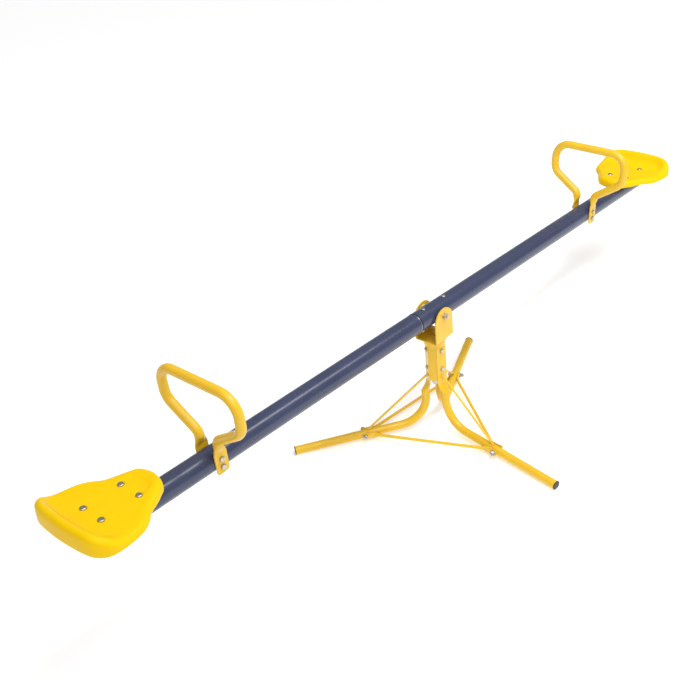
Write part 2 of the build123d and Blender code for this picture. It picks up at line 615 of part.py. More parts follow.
def brace_end(eye, knee, length):
    tongue = SlotOverall(BRACE_EYE_LENGTH + BRACE_EYE_D, BRACE_EYE_D)
    tongue = extrude(tongue, BRACE_FLAT / 2, both=True)
    place = Plane(origin=(knee + eye) / 2, x_dir=(1, 0, 0), z_dir=(0, 1, 0)).location
    tongue = place * tongue
    tongue &= Pos(knee.X, 0, 0) * Box(FAR, FAR, FAR, align=(Align.MIN, Align.CENTER, Align.CENTER))
    slant = math.radians(LEG_SPACING / 4)
    heading = (-math.cos(slant), math.sin(slant), 0)
    start = Plane(origin=knee, x_dir=(0, 0, 1), z_dir=heading)
    flat = start * Rectangle(BRACE_EYE_D, BRACE_FLAT)
    full = start.offset(BRACE_TAPER) * Circle(BRACE_D / 2)
    bar = start.offset(BRACE_TAPER).location * extrude(Circle(BRACE_D / 2), length - BRACE_TAPER)
    half = tongue + loft([flat, full]) + bar
    return bored(half, tuple(eye), (0, 1, 0), M8["shank"] + 2 * HOLE_CLEARANCE)


def brace_hardware(azimuth):
    face = BRACE_OFFSET + BRACE_FLAT / 2
    stack = face + M8["washer_t"]
    head = facing((BRACE_REACH, stack, BRACE_HEIGHT), (0, 1, 0))
    bolt = head * screw(M8, 2 * stack + M8["nut"], THREAD_PAST_NUT)
    nut_piece = facing((BRACE_REACH, -stack, BRACE_HEIGHT), (0, 1, 0)) * nut(M8)
    washers = [facing((BRACE_REACH, stack, BRACE_HEIGHT), (0, 1, 0)) * washer(M8),
               facing((BRACE_REACH, -face, BRACE_HEIGHT), (0, 1, 0)) * washer(M8)]
    turn = turned(azimuth)
    return turn * bolt, turn * nut_piece, [turn * ring for ring in washers]


def column_hardware(azimuth):
    face = CORE_LEG_FLAT + LEG_PRESSED
    bolts = []
    for height in COLUMN_BOLT_HEIGHTS:
        place = turned(azimuth) * facing((face, 0, height), (1, 0, 0))
        bolts.append(place * hex_screw(M8, LEG_PRESSED, CORE_TAP_DEPTH - SLIP_FIT))
    return bolts


# ---- write every piece ------------------------------------------------------------
def save_beam():
    save("beam_near_tube", BEAM * near_tube())
    save("beam_far_tube", BEAM * far_tube())
    save("joint_sleeve", BEAM * joint_sleeve())
    save("joint_ring", BEAM * joint_ring())
    bolts, nuts = joint_hardware()
    save("joint_bolts", *[BEAM * piece for piece in bolts])
    save("joint_nuts", *[BEAM * piece for piece in nuts])
    save("pivot_cross_tube", BEAM * cross_tube())
    save("pivot_bushes", BEAM * pivot_bush(-1), BEAM * pivot_bush(1))


def save_ends():
    upright = handle()
    saddle, bracket = seat(), seat_bracket()
    seat_bolts, seat_nuts = seat_hardware()
    handle_bolts, handle_nuts = [], []
    for end, side, place in (("near", -1, BEAM * HALF_TURN), ("far", 1, BEAM)):
        save(f"beam_plug_{end}", BEAM * end_plug(side))
        save(f"handle_{end}", handle_place(side) * upright)
        bolts, nuts = handle_hardware(side)
        handle_bolts += bolts
        handle_nuts += nuts
        save(f"seat_{end}", place * saddle)
        save(f"seat_bracket_{end}", place * bracket)
        save(f"seat_bolts_{end}", *[place * piece for piece in seat_bolts])
        save(f"seat_nuts_{end}", *[place * piece for piece in seat_nuts])
    save("handle_bolts", *handle_bolts)
    save("handle_nuts", *handle_nuts)


def save_swivel():
    save("yoke", yoke())
    save("swivel_spindle", spindle())
    bolt, pivot_nut, washers = pivot_hardware()
    save("pivot_bolt", bolt)
    save("pivot_nut", pivot_nut)
    save("pivot_washers", *washers)
    low_washer, low_nut = swivel_hardware()
    save("spindle_washer", low_washer)
    save("spindle_nut", low_nut)


def save_base():
    save("column_core", column_core())
    save("swivel_hub", swivel_hub())
    save("swivel_bush_top", top_bush())
    save("swivel_bush_low", low_bush())
    leg_piece, cap_piece, strut_piece, brace_piece = leg(), foot_cap(), strut(), brace()
    groups = {"column_bolts": [], "brace_bolts": [], "brace_nuts": [], "brace_washers": []}
    for name, azimuth in zip(LEG_NAMES, LEG_AZIMUTHS):
        turn = turned(azimuth)
        save(f"leg_{name}", turn * leg_piece)
        save(f"foot_cap_{name}", turn * cap_piece)
        save(f"strut_{name}", turn * strut_piece)
        save(f"brace_from_{name}", turn * brace_piece)
        groups["column_bolts"] += column_hardware(azimuth)
        bolt, brace_nut, washers = brace_hardware(azimuth)
        groups["brace_bolts"].append(bolt)
        groups["brace_nuts"].append(brace_nut)
        groups["brace_washers"] += washers
    for name, pieces in groups.items():
        save(name, *pieces)


save_beam()
save_ends()
save_swivel()
save_base()
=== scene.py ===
import json
import math

import bmesh
import bpy
import numpy as np
from mathutils import Matrix, Vector


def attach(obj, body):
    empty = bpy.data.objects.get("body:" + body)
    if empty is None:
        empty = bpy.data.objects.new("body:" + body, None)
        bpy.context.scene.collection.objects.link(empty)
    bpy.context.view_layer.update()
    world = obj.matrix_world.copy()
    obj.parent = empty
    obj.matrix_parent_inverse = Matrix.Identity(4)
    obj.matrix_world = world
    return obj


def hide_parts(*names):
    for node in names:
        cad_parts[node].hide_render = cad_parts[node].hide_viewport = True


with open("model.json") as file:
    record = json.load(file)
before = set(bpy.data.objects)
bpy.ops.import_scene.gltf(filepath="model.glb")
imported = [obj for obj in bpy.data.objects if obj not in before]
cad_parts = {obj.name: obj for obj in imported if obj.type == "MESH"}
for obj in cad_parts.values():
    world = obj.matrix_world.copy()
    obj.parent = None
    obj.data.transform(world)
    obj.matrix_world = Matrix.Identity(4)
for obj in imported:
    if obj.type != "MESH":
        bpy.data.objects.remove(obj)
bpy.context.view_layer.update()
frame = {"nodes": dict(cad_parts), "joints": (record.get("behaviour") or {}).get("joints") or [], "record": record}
MM = 0.001


# ---- the frame's own places, read from the record -----------------------------------
def joint(name):
    return next(j for j in frame["joints"] if j["name"] == name)


PIVOT = Vector(joint("beam_tilt")["pos_m"])
NODES = frame["nodes"]
SLOT_OF = {row["node"]: row["material_slot"] for row in frame["record"]["subparts"]}
REST_TILT = math.radians(3.8)       # the beam's lean at rest, its +X end down


def beam_point(x, y, z, side=1):
    """A point in the beam's own frame, in millimetres, as a row-frame point in metres."""
    turned = Vector((side * x, side * y, z)) * MM
    return PIVOT + Matrix.Rotation(REST_TILT, 3, "Y") @ turned


# ---- camera and light ----------------------------------------------------------------
CAMERA_PLACE = Vector((-1.986, -1.536, 1.963))
CAMERA_AZIMUTH = math.radians(-46.595)
CAMERA_ELEVATION = math.radians(33.546)
CAMERA_ROLL = math.radians(-6.04)
CAMERA_LENS = 52.66
SENSOR = 36.0
CLIP_NEAR, CLIP_FAR = 0.05, 100.0

DOME_LEVELS = (0.20, 0.50)          # brightness at the horizon and overhead
DOME_TOP = 0.9                      # how far up the dome it is fully bright
SUN_DIRECTION = (0.45, 0.62, -1.0)
SUN_STRENGTH = 1.05
SUN_SPREAD = 62.0                   # degrees across: a wide, soft source
STRIP_PLACE = (0.50, -1.10, 2.90)
STRIP_AIM = (0.50, 0.0, 0.4)
STRIP_SIZE = (3.4, 0.65)
STRIP_POWER = 66.0
FLOOR_HALF = 14.0
FLOOR_COLOUR = (0.93, 0.93, 0.925)
FLOOR_ROUGHNESS = 0.9
FLOOR_GLOW = 0.32


def make_camera():
    away = Vector((math.sin(CAMERA_AZIMUTH) * math.cos(CAMERA_ELEVATION),
                   -math.cos(CAMERA_AZIMUTH) * math.cos(CAMERA_ELEVATION),
                   math.sin(CAMERA_ELEVATION)))
    level = Vector((0, 0, 1)).cross(away).normalized()
    upward = away.cross(level)
    right = level * math.cos(CAMERA_ROLL) + upward * math.sin(CAMERA_ROLL)
    top = away.cross(right)
    data = bpy.data.cameras.new("camera")
    data.lens, data.sensor_width = CAMERA_LENS, SENSOR
    data.clip_start, data.clip_end = CLIP_NEAR, CLIP_FAR
    camera = bpy.data.objects.new("camera", data)
    turn = Matrix((right, top, away)).transposed().to_4x4()
    camera.matrix_world = Matrix.Translation(CAMERA_PLACE) @ turn
    bpy.context.collection.objects.link(camera)
    bpy.context.scene.camera = camera


def area_light(name, place, aim, size, power):
    data = bpy.data.lights.new(name, "AREA")
    data.shape, data.energy = "RECTANGLE", power
    data.size, data.size_y = size
    light = bpy.data.objects.new(name, data)
    light.matrix_world = Matrix.Translation(place) @ facing(Vector(aim) - Vector(place))
    bpy.context.collection.objects.link(light)


def facing(direction):
    """Turns a light so that its -Z looks along the direction and its X stays level."""
    back = -Vector(direction).normalized()
    level = Vector((1, 0, 0)) if abs(back.z) > 0.999 else Vector((0, 0, 1)).cross(back).normalized()
    if level.x < 0:
        level = -level
    return Matrix((level, back.cross(level), back)).transposed().to_4x4()


def sun_light(direction, strength, spread):
    data = bpy.data.lights.new("sun", "SUN")
    data.energy, data.angle = strength, math.radians(spread)
    light = bpy.data.objects.new("sun", data)
    light.matrix_world = facing(direction)
    bpy.context.collection.objects.link(light)


def make_world():
    """A plain dome: dim round the horizon and brighter overhead."""
    world = bpy.data.worlds.new("studio")
    world.use_nodes = True
    nodes, links = world.node_tree.nodes, world.node_tree.links
    split = nodes.new("ShaderNodeSeparateXYZ")
    links.new(nodes.new("ShaderNodeTexCoord").outputs["Generated"], split.inputs["Vector"])
    level = remap(nodes, links, split.outputs["Z"], 0.0, DOME_TOP, *DOME_LEVELS)
    links.new(level, nodes["Background"].inputs["Strength"])
    nodes["Background"].inputs["Color"].default_value = (1.0, 1.0, 1.0, 1)
    bpy.context.scene.world = world


def make_studio():
    make_world()
    bpy.context.scene.view_settings.view_transform = "Standard"
    sun_light(SUN_DIRECTION, SUN_STRENGTH, SUN_SPREAD)
    area_light("strip", STRIP_PLACE, STRIP_AIM, STRIP_SIZE, STRIP_POWER)
    corners = [(-FLOOR_HALF, -FLOOR_HALF, 0), (FLOOR_HALF, -FLOOR_HALF, 0),
               (FLOOR_HALF, FLOOR_HALF, 0), (-FLOOR_HALF, FLOOR_HALF, 0)]
    floor = bpy.data.meshes.new("floor")
    floor.from_pydata(corners, [], [(0, 1, 2, 3)])
    floor.materials.append(floor_material())
    piece = bpy.data.objects.new("floor", floor)
    bpy.context.collection.objects.link(piece)


# ---- materials: lengths in metres, noise scales in waves to the metre ---------------------
EDGE_SAMPLES, SOFT_SAMPLES = 4, 6
WEAR_RADIUS = 0.0012                # how near an edge the paint thins
SOFT_RADIUS = 0.0009                # rounding of the painted edges
COLOUR_SOCKETS = (6, 7)             # the Mix node's two colours
COLOUR_RESULT = 2


def new_material(name):
    material = bpy.data.materials.new(name)
    material.use_nodes = True
    return material, material.node_tree.nodes, material.node_tree.links


def floor_material():
    material, nodes, links = new_material("pale_floor")
    shader = nodes["Principled BSDF"]
    shader.inputs["Base Color"].default_value = (*FLOOR_COLOUR, 1)
    shader.inputs["Roughness"].default_value = FLOOR_ROUGHNESS
    shader.inputs["Emission Color"].default_value = (1, 1, 1, 1)
    shader.inputs["Emission Strength"].default_value = FLOOR_GLOW
    return material


def noise(nodes, links, coords, scale, detail=3.0, roughness=0.55, stretch=None):
    source = coords.outputs["Object"]
    if stretch:
        mapping = nodes.new("ShaderNodeMapping")
        mapping.inputs["Scale"].default_value = stretch
        links.new(source, mapping.inputs["Vector"])
        source = mapping.outputs["Vector"]
    node = nodes.new("ShaderNodeTexNoise")
    node.inputs["Scale"].default_value = scale
    node.inputs["Detail"].default_value = detail
    node.inputs["Roughness"].default_value = roughness
    links.new(source, node.inputs["Vector"])
    return node.outputs["Fac"]


def remap(nodes, links, value, low, high, to_low=0.0, to_high=1.0):
    node = nodes.new("ShaderNodeMapRange")
    node.inputs["From Min"].default_value = low
    node.inputs["From Max"].default_value = high
    node.inputs["To Min"].default_value = to_low
    node.inputs["To Max"].default_value = to_high
    links.new(value, node.inputs["Value"])
    return node.outputs["Result"]


def mix_colour(nodes, links, fac, first, second):
    node = nodes.new("ShaderNodeMix")
    node.data_type = "RGBA"
    links.new(fac, node.inputs["Factor"])
    for socket, colour in zip((node.inputs[k] for k in COLOUR_SOCKETS), (first, second)):
        if isinstance(colour, tuple):
            socket.default_value = (*colour, 1)
        else:
            links.new(colour, socket)
    return node.outputs[COLOUR_RESULT]


def bump(nodes, links, height, distance, strength=1.0, under=None):
    node = nodes.new("ShaderNodeBump")
    node.inputs["Distance"].default_value = distance
    node.inputs["Strength"].default_value = strength
    links.new(height, node.inputs["Height"])
    if under:
        links.new(under, node.inputs["Normal"])
    return node.outputs["Normal"]


def edge_wear(nodes, links, radius, coords):
    """Where an edge is sharp and the noise lets it through, between 0 and 1."""
    geometry = nodes.new("ShaderNodeNewGeometry")
    bevel = nodes.new("ShaderNodeBevel")
    bevel.samples = EDGE_SAMPLES
    bevel.inputs["Radius"].default_value = radius
    dot = nodes.new("ShaderNodeVectorMath")
    dot.operation = "DOT_PRODUCT"
    links.new(geometry.outputs["Normal"], dot.inputs[0])
    links.new(bevel.outputs["Normal"], dot.inputs[1])
    edge = remap(nodes, links, dot.outputs["Value"], 0.97, 0.80)
    patchy = remap(nodes, links, noise(nodes, links, coords, 60.0, 5.0), 0.50, 0.68)
    both = nodes.new("ShaderNodeMath")
    both.operation = "MULTIPLY"
    links.new(edge, both.inputs[0])
    links.new(patchy, both.inputs[1])
    return both.outputs["Value"]


def soft_edges(nodes, radius):
    """The surface's normal with its edges rounded by the radius."""
    bevel = nodes.new("ShaderNodeBevel")
    bevel.samples = SOFT_SAMPLES
    bevel.inputs["Radius"].default_value = radius
    return bevel.outputs["Normal"]


def powder_coat(name, colour, deep, roughness, coat, specular=0.4, peel=0.00012, wear=0.25):
    """Baked powder paint: fine orange peel, faint clouding, dust in the roughness, thin edges."""
    material, nodes, links = new_material(name)
    shader = nodes["Principled BSDF"]
    coords = nodes.new("ShaderNodeTexCoord")
    cloud = remap(nodes, links, noise(nodes, links, coords, 9.0, 4.0), 0.35, 0.68)
    base = mix_colour(nodes, links, cloud, colour, deep)
    worn = edge_wear(nodes, links, WEAR_RADIUS, coords)
    worn = remap(nodes, links, worn, 0.0, 1.0, 0.0, wear)
    pale = tuple(min(1.0, c * 1.25 + 0.05) for c in colour)
    links.new(mix_colour(nodes, links, worn, base, pale), shader.inputs["Base Color"])
    dust = noise(nodes, links, coords, 35.0, 5.0, 0.65)
    links.new(remap(nodes, links, dust, 0.3, 0.7, roughness - 0.05, roughness + 0.07),
              shader.inputs["Roughness"])
    pits = noise(nodes, links, coords, 620.0, 2.0)
    swells = noise(nodes, links, coords, 170.0, 2.0)
    fine = bump(nodes, links, pits, peel, 1.0, soft_edges(nodes, SOFT_RADIUS))
    wavy = bump(nodes, links, swells, peel * 2, 0.7, fine)
    links.new(wavy, shader.inputs["Normal"])
    shader.inputs["Specular IOR Level"].default_value = specular
    shader.inputs["Coat Weight"].default_value = coat
    shader.inputs["Coat Roughness"].default_value = 0.14
    return material


def moulded_plastic(name, colour, deep, roughness, grain=0.00006, specular=0.5):
    """Injection-moulded plastic: flow lines, a soft skin and light scuffs."""
    material, nodes, links = new_material(name)
    shader = nodes["Principled BSDF"]
    coords = nodes.new("ShaderNodeTexCoord")
    flow = noise(nodes, links, coords, 14.0, 5.0, 0.6, stretch=(0.35, 1.0, 1.0))
    base = mix_colour(nodes, links, remap(nodes, links, flow, 0.38, 0.66), colour, deep)
    links.new(base, shader.inputs["Base Color"])
    scuff = noise(nodes, links, coords, 55.0, 6.0, 0.7, stretch=(1.0, 0.2, 1.0))
    links.new(remap(nodes, links, scuff, 0.35, 0.7, roughness - 0.05, roughness + 0.1),
              shader.inputs["Roughness"])
    skin = bump(nodes, links, noise(nodes, links, coords, 900.0, 2.0), grain)
    ripple = bump(nodes, links, noise(nodes, links, coords, 45.0, 2.0), grain * 4, 0.6, skin)
    links.new(ripple, shader.inputs["Normal"])
    shader.inputs["Specular IOR Level"].default_value = specular
    return material


def plated_steel(name, colour, roughness, stain, grain=0.00004):
    """Zinc-plated or drawn steel, with turning marks and faint staining."""
    material, nodes, links = new_material(name)
    shader = nodes["Principled BSDF"]
    coords = nodes.new("ShaderNodeTexCoord")
    blotch = remap(nodes, links, noise(nodes, links, coords, 160.0, 5.0, 0.6), 0.45, 0.75, 0.0, 0.55)
    links.new(mix_colour(nodes, links, blotch, colour, stain), shader.inputs["Base Color"])
    shader.inputs["Metallic"].default_value = 1.0
    marks = noise(nodes, links, coords, 700.0, 3.0, 0.6, stretch=(1.0, 1.0, 0.15))
    links.new(remap(nodes, links, marks, 0.3, 0.7, roughness - 0.08, roughness + 0.12),
              shader.inputs["Roughness"])
    links.new(bump(nodes, links, marks, grain), shader.inputs["Normal"])
    return material


BLUE, DEEP_BLUE = (0.045, 0.055, 0.109), (0.037, 0.046, 0.094)
GOLD, DEEP_GOLD = (0.83, 0.518, 0.021), (0.79, 0.476, 0.017)
YELLOW, DEEP_YELLOW = (0.92, 0.585, 0.0015), (0.90, 0.560, 0.001)
# BLACK also colours the dark ring in the beam's joint, a black part put in as painted shade for the gap between
# the tube ends.
BLACK, WORN_BLACK = (0.013, 0.013, 0.014), (0.020, 0.020, 0.021)
IVORY, DEEP_IVORY = (0.74, 0.71, 0.62), (0.68, 0.65, 0.57)
ZINC, ZINC_STAIN = (0.52, 0.50, 0.46), (0.20, 0.17, 0.14)
STEEL, STEEL_STAIN = (0.42, 0.42, 0.43), (0.22, 0.17, 0.13)

MATERIALS = {
    "blue_paint": powder_coat("blue_paint", BLUE, DEEP_BLUE, 0.25, 0.08, peel=0.00005),
    "yellow_paint": powder_coat("yellow_paint", GOLD, DEEP_GOLD, 0.34, 0.15),
    "yellow_plastic": moulded_plastic("yellow_plastic", YELLOW, DEEP_YELLOW, 0.38, specular=0.1),
    "black_plastic": moulded_plastic("black_plastic", BLACK, WORN_BLACK, 0.42),
    "nylon": moulded_plastic("nylon", IVORY, DEEP_IVORY, 0.45),
    "zinc": plated_steel("zinc", ZINC, 0.26, stain=ZINC_STAIN),
    "bare_steel": plated_steel("bare_steel", STEEL, 0.42, stain=STEEL_STAIN),
}


def paint_frame():
    """Gives every CAD piece the material of its slot in the record."""
    for name, piece in NODES.items():
        piece.data.materials.clear()
        piece.data.materials.append(MATERIALS[SLOT_OF[name]])


# ---- seats: millimetres in the beam's own frame ------------------------------------------
SEAT_NOSE, SEAT_REAR = 1030.0, 1288.0
SEAT_LENGTH = SEAT_REAR - SEAT_NOSE
SEAT_HALF_WIDTH = 125.0
SEAT_STATIONS = ((0.0, 0.0), (0.04, 0.30), (0.12, 0.43), (0.215, 0.55), (0.31, 0.645), (0.385, 0.785),
                 (0.46, 0.89), (0.54, 0.95), (0.65, 0.99), (0.77, 1.0), (0.855, 0.967),
                 (0.93, 0.84), (0.97, 0.67), (0.99, 0.40), (1.0, 0.0))
SEAT_RIM = ((0.0, 66.0), (0.06, 65.5), (0.12, 62.5), (0.19, 58.5), (0.27, 56.0), (0.60, 55.6),
            (0.70, 57.5), (0.76, 62.0), (0.83, 71.5), (0.885, 78.5), (0.94, 84.5), (1.0, 91.0))
SEAT_DISH = ((0.0, 63.0), (0.10, 60.0), (0.20, 57.0), (0.28, 55.5), (0.70, 55.3), (0.80, 59.0),
             (0.90, 68.0), (1.0, 78.0))
SEAT_SKIRT = ((0.0, 36.0), (0.80, 36.5), (0.95, 36.0), (1.0, 41.0))
SEAT_EDGE = 16.0                    # radius of the soft outer edge
SEAT_CREST = 14.0                   # from the outline in to the crest of the rim
SEAT_HEM, SEAT_HEM_INSET = 2.5, 0.8 # height and draw-in of the skirt's lower edge
SEAT_DRAFT = 0.1                    # how far the skirt leans in half way up
SEAT_SIDE_SHARE = 0.75              # most of the side that the soft edge may take
SEAT_TURNS = (10, 30, 50, 70, 88)   # degrees round the soft edge, ring by ring
SEAT_FALL_STEPS = (3.0, 8.0, 13.0, 19.0, 26.0)  # from the crest in, ring by ring
SEAT_MIDDLE = 0.56                  # where the rings close, as a share of the length
SEAT_INNER_SHARES = (0.82, 0.64, 0.46, 0.28, 0.12)
SEAT_BLEND = (-0.04, -0.02, 0.0, 0.02, 0.04)    # shares of the length averaged at a corner
SEAT_FALL = SEAT_FALL_STEPS[-1]     # from the crest in to the dish
SEAT_SEGMENTS = 160
SEAT_SHELL = 4.0
SEAT_BOLTS_X = (1101.7, 1202.7)
SEAT_BOLTS_Y = 30.7
POCKET_RADIUS, POCKET_FLOOR = 10.4, 54.2
POCKET_CUT, POCKET_IN, POCKET_OUT = 4.0, 1.2, 1.0   # cutter height, draw-in below, flare above
AXIS_RADIUS = 0.01                  # a turned piece closes on its axis here
BOSS_RADIUS, BOSS_BORE = 10.5, 3.6
BOSS_FOOT, BOSS_TOP = 33.4, 51.5
BOSS_LEAD, BOSS_CHAMFER = 1.0, 2.0  # narrowing at the foot, and over what height
BOSS_DRAFT, BOSS_ROUNDING = 0.8, 0.5


def closed_curve(points, count):
    """Evenly spaced points on a smooth closed curve through the given ones."""
    points = np.array(points, float)
    before, after, later = np.roll(points, 1, 0), np.roll(points, -1, 0), np.roll(points, -2, 0)
    dense = []
    for t in np.linspace(0, 1, 40, endpoint=False):
        dense.append(0.5 * (2 * points + (after - before) * t
                            + (2 * before - 5 * points + 4 * after - later) * t ** 2
                            + (3 * points - before - 3 * after + later) * t ** 3))
    dense = np.array(dense).transpose(1, 0, 2).reshape(-1, 2)
    dense[:, 0] = dense[:, 0].clip(SEAT_NOSE, SEAT_REAR)
    steps = np.linalg.norm(np.roll(dense, -1, 0) - dense, axis=1)
    length = np.concatenate([[0], np.cumsum(steps)])
    dense = np.vstack([dense, dense[:1]])
    at = np.linspace(0, length[-1], count, endpoint=False)
    return np.column_stack([np.interp(at, length, dense[:, k]) for k in (0, 1)])


def seat_ring():
    right = [(SEAT_NOSE + along * SEAT_LENGTH, half * SEAT_HALF_WIDTH) for along, half in SEAT_STATIONS]
    left = [(x, -y) for x, y in reversed(right[1:-1])]
    return closed_curve(right + left, SEAT_SEGMENTS)


def smooth(t):
    t = np.clip(t, 0, 1)
    return t * t * (3 - 2 * t)


def along_seat(line, x):
    """Height on a line of (share of the length, height) points, smoothed across its corners."""
    share = (np.asarray(x, float) - SEAT_NOSE) / SEAT_LENGTH
    spots, heights = zip(*line)
    return np.mean([np.interp(share + step, spots, heights) for step in SEAT_BLEND], axis=0)


def seat_inward(ring):
    ahead = np.roll(ring, -1, 0) - np.roll(ring, 1, 0)
    inward = np.column_stack([-ahead[:, 1], ahead[:, 0]])
    inward /= np.linalg.norm(inward, axis=1)[:, None]
    centre = ring.mean(0)
    return inward if np.dot(inward[0], centre - ring[0]) > 0 else -inward


def seat_rings():
    """The skin as rings, from the lower edge of the skirt over the rim and in to the middle."""
    outline = seat_ring()
    inward = seat_inward(outline)
    rim = along_seat(SEAT_RIM, outline[:, 0])
    skirt = along_seat(SEAT_SKIRT, outline[:, 0])
    side = np.minimum(SEAT_EDGE, SEAT_SIDE_SHARE * (rim - skirt))
    rows = [(SEAT_HEM_INSET, skirt), (0.0, skirt + SEAT_HEM)]
    rows.append((SEAT_DRAFT, 0.5 * (skirt + SEAT_HEM + rim - side)))
    for turn in SEAT_TURNS:
        angle = math.radians(turn)
        rows.append((SEAT_CREST * (1 - math.cos(angle)), rim - side * (1 - math.sin(angle))))
    rings = [np.column_stack([outline + inward * inset, height]) for inset, height in rows]
    crest = outline + inward * SEAT_CREST
    middle = np.array([SEAT_NOSE + SEAT_MIDDLE * SEAT_LENGTH, 0.0])
    reach = np.linalg.norm(crest - middle, axis=1)
    for step in SEAT_FALL_STEPS:
        plan = crest + (middle - crest) * (step / reach)[:, None]
        rings.append(np.column_stack([plan, seat_height(plan[:, 0], rim, step)]))
    inner = rings[-1][:, :2]
    for share in SEAT_INNER_SHARES:
        plan = middle + (inner - middle) * share
        rings.append(np.column_stack([plan, along_seat(SEAT_DISH, plan[:, 0])]))
    return rings, middle


def seat_height(x, rim, step):
    """Height of the skin a few millimetres in from the crest of the rim."""
    dish = along_seat(SEAT_DISH, x)
    return rim + (dish - rim) * smooth(step / SEAT_FALL)


def seat_mesh():
    rings, middle = seat_rings()
    verts = [tuple(point) for ring in rings for point in ring]
    faces = []
    for r in range(len(rings) - 1):
        for i in range(SEAT_SEGMENTS):
            j = (i + 1) % SEAT_SEGMENTS
            a = r * SEAT_SEGMENTS
            faces.append((a + i, a + j, a + SEAT_SEGMENTS + j, a + SEAT_SEGMENTS + i))
    verts.append((middle[0], 0.0, float(along_seat(SEAT_DISH, middle[0]))))
    last = (len(rings) - 1) * SEAT_SEGMENTS
    faces += [(last + i, last + (i + 1) % SEAT_SEGMENTS, len(verts) - 1) for i in range(SEAT_SEGMENTS)]
    return verts, faces


def mesh_object(name, verts, faces, material):
    data = bpy.data.meshes.new(name)
    data.from_pydata(verts, [], faces)
    data.materials.append(material)
    shape = bmesh.new()
    shape.from_mesh(data)
    bmesh.ops.recalc_face_normals(shape, faces=shape.faces)
    shape.to_mesh(data)
    shape.free()
    data.polygons.foreach_set("use_smooth", [True] * len(data.polygons))
    piece = bpy.data.objects.new(name, data)
    bpy.context.collection.objects.link(piece)
    return piece


def apply_modifiers(piece):
    """Keeps the mesh that the modifiers make, and drops them."""
    depsgraph = bpy.context.evaluated_depsgraph_get()
    made = bpy.data.meshes.new_from_object(piece.evaluated_get(depsgraph))
    piece.modifiers.clear()
    piece.data = made


def turned_profile(profile, place, count=40):
    """A closed turned shape: (radius, height) points spun round the place's own Z axis."""
    verts, faces = [], []
    for radius, height in profile:
        for i in range(count):
            angle = 2 * math.pi * i / count
            verts.append(place(radius * math.cos(angle), radius * math.sin(angle), height))
    for r in range(len(profile)):
        a, b = r * count, ((r + 1) % len(profile)) * count
        faces += [(a + i, a + (i + 1) % count, b + (i + 1) % count, b + i) for i in range(count)]
    return verts, faces


def seat_spots():
    return [(x, side * SEAT_BOLTS_Y) for x in SEAT_BOLTS_X for side in (-1, 1)]


def cut_pockets(piece, side):
    """A shallow round pocket in the skin under each bolt head."""
    top = POCKET_FLOOR + POCKET_CUT
    profile = [(AXIS_RADIUS, POCKET_FLOOR), (POCKET_RADIUS - POCKET_IN, POCKET_FLOOR),
               (POCKET_RADIUS + POCKET_OUT, top), (AXIS_RADIUS, top)]
    for x, y in seat_spots():
        verts, faces = turned_profile(profile, lambda a, b, c: beam_point(x + a, y + b, c, side))
        cutter = mesh_object("pocket_cutter", verts, faces, MATERIALS["yellow_plastic"])
        pocket = piece.modifiers.new("pocket", "BOOLEAN")
        pocket.object, pocket.operation, pocket.solver = cutter, "DIFFERENCE", "EXACT"
        apply_modifiers(piece)
        bpy.data.objects.remove(cutter)


def make_seat(end, side):
    verts, faces = seat_mesh()
    verts = [beam_point(*v, side=side) for v in verts]
    piece = mesh_object(f"saddle_{end}", verts, faces, MATERIALS["yellow_plastic"])
    shell = piece.modifiers.new("shell", "SOLIDIFY")
    shell.thickness, shell.offset = SEAT_SHELL * MM, -1
    subdivide = piece.modifiers.new("smooth", "SUBSURF")
    subdivide.levels = subdivide.render_levels = 1
    apply_modifiers(piece)
    cut_pockets(piece, side)
    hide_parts(f"seat_{end}")
    finish_piece(piece, "beam")
    make_bosses(end, side)


def make_bosses(end, side):
    """The hollow posts under the seat that its bolts pass through."""
    profile = [(BOSS_BORE, BOSS_FOOT), (BOSS_RADIUS - BOSS_LEAD, BOSS_FOOT),
               (BOSS_RADIUS, BOSS_FOOT + BOSS_CHAMFER), (BOSS_RADIUS + BOSS_DRAFT, BOSS_TOP),
               (BOSS_BORE, BOSS_TOP)]
    verts, faces = [], []
    for x, y in seat_spots():
        more, loops = turned_profile(profile, lambda a, b, c: beam_point(x + a, y + b, c, side))
        faces += [tuple(len(verts) + i for i in loop) for loop in loops]
        verts += more
    piece = mesh_object(f"saddle_bosses_{end}", verts, faces, MATERIALS["yellow_plastic"])
    bevel = piece.modifiers.new("edge", "BEVEL")
    bevel.width, bevel.segments, bevel.limit_method = BOSS_ROUNDING * MM, 2, "ANGLE"
    apply_modifiers(piece)
    finish_piece(piece, "beam")


def finish_piece(piece, body):
    """Hangs the piece from the body that carries it."""
    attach(piece, body)


# ---- welds, rolled tube ends and screw threads -------------------------------------------
WELD_RIPPLE = 0.14                  # share of the bead's radius that its ripples take
WELD_STEP = 2.2                     # millimetres from one ripple to the next
TUBE_RADIUS = 30.0
CROSS_TUBE_RADIUS = 10.05
JOINT_X, JOINT_GAP = -87.0, 5.0
CORE_TOP = 300.0
HUB_WELD_RADIUS = 28.6
YOKE_FLOOR = 327.0
NECK_RADIUS = 10.0
LEG_AZIMUTHS = (-97.3, 22.7, 142.7)
STRUT_TOP = (26.6, 0.0, 194.9)
STRUT_FOOT = (222.0, 0.0, 35.1)
STRUT_RADIUS = 3.25
STRUT_CUT = 1.35                    # how much longer than wide the strut's slanting end is
STRUT_FOOT_DROP = 0.4               # the weld's sides sit lower on the round leg
STRUT_WELD_GAP = 0.9                # from the strut's skin out to the bead's middle
HUB_WELD_DROP = 0.4
BEAD_CROSS_TUBE, BEAD_HUB, BEAD_SPINDLE = 1.2, 2.0, 0.9
BEAD_STRUT_TOP, BEAD_STRUT_FOOT = 1.3, 1.5
LIP_RADIUS = 0.8
THREAD_DEPTH, THREAD_CREST, THREAD_SIDES = 0.5, 0.12, 28

